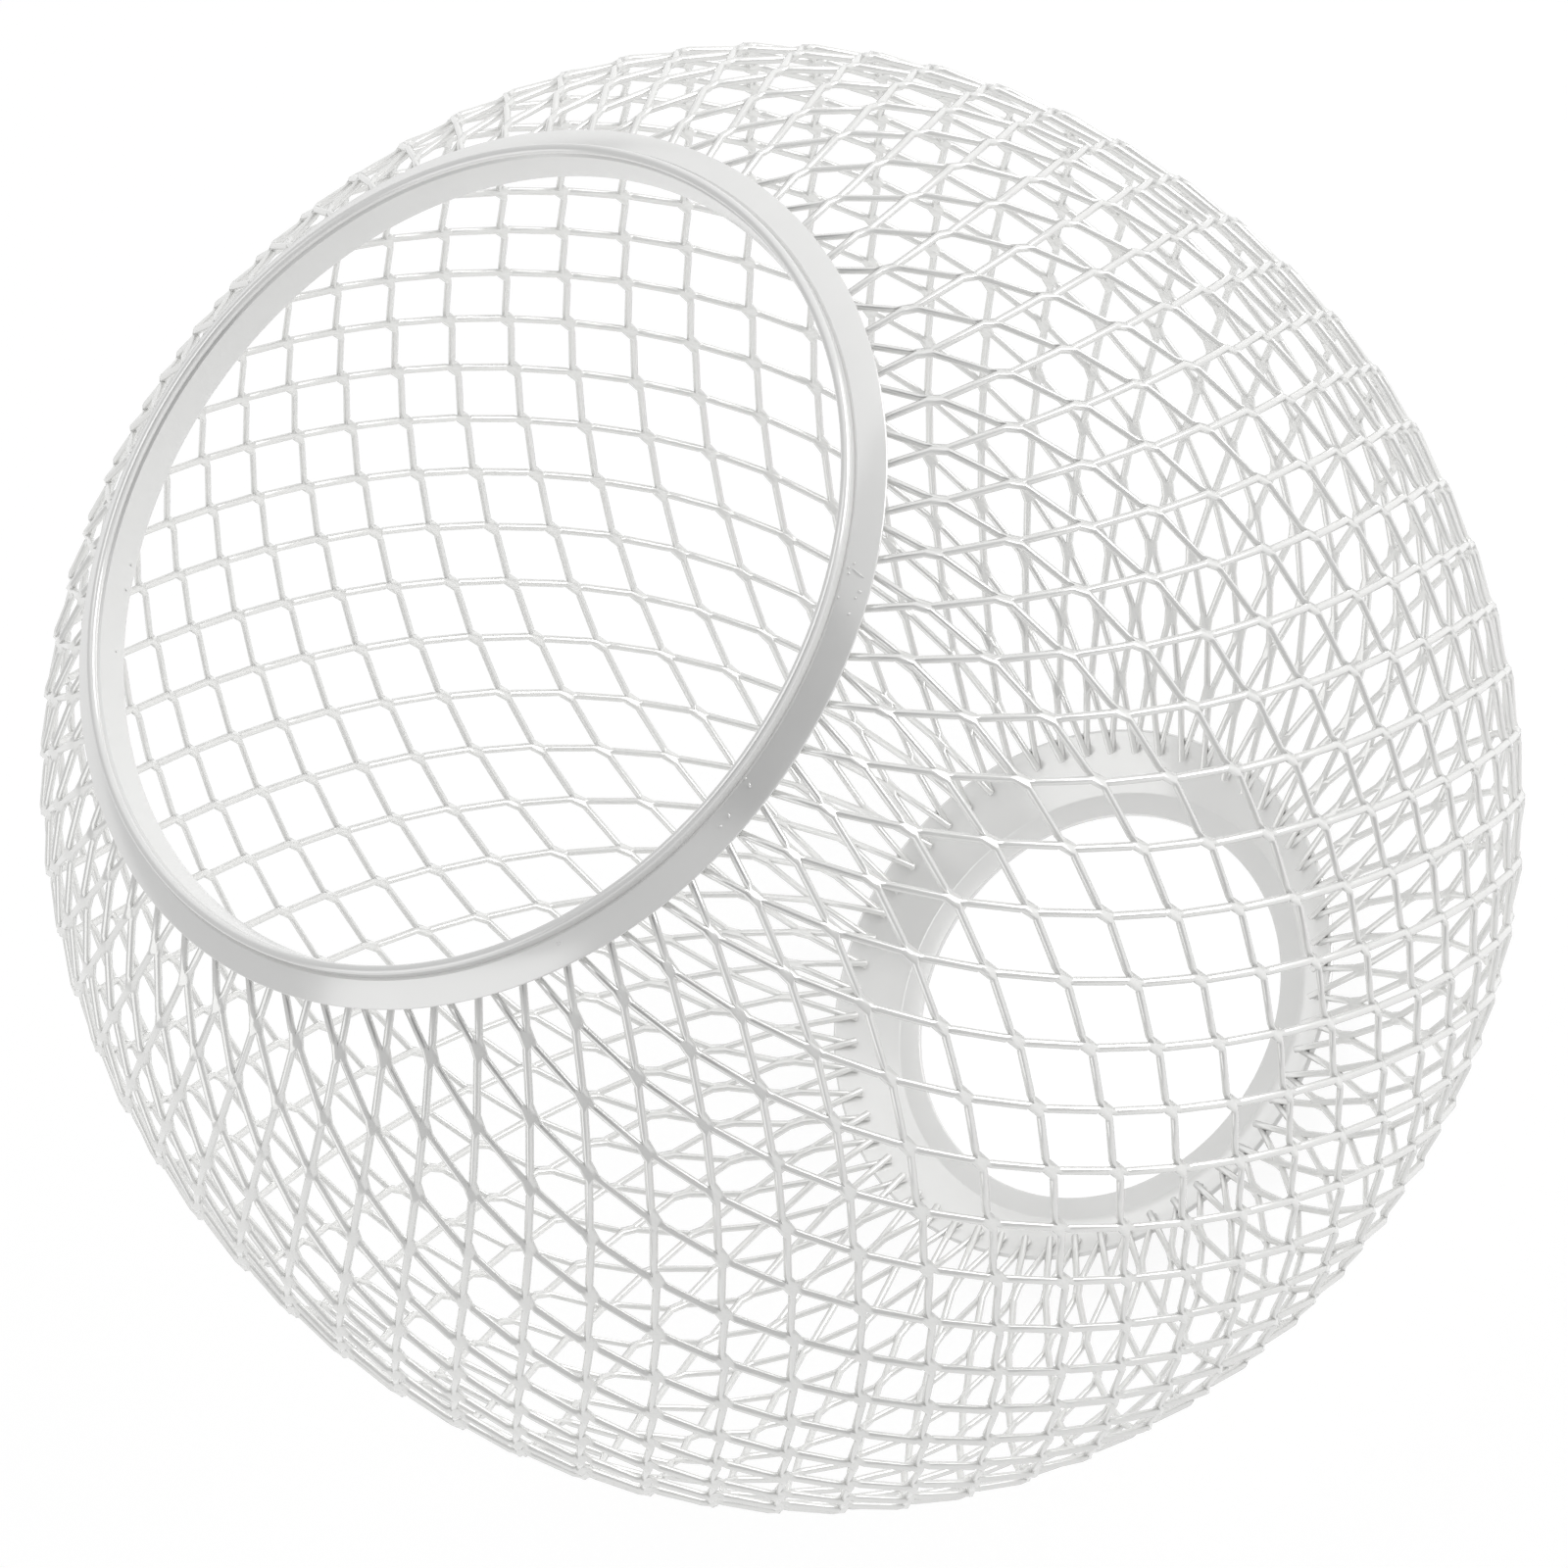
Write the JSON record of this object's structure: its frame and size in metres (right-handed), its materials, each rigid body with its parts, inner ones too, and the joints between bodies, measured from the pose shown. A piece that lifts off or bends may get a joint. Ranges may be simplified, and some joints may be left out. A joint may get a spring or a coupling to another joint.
{
  "type": "wire lampshade",
  "caption": "Open globe lampshade of expanded metal with a folded rim round its wide mouth and a flat lipped ring round its neck hole, fitted over a lamp holder.",
  "frame": {"origin": "centre of the underside of the neck ring's flat lip, at the middle of the footprint", "axes": "Z along the globe's axis, from the neck ring up to the wide mouth; X and Y across it, any way round"},
  "size_m": [0.2, 0.2, 0.1835],
  "materials": {
    "mesh_coat": "satin white powder coat on slit and stretched steel sheet",
    "ring_coat": "satin white powder coat on folded sheet steel"
  },
  "bodies": {
    "root": {"mesh_globe": "mesh_coat", "mouth_rim": "ring_coat", "neck_ring": "ring_coat"}
  },
  "joints": []
}
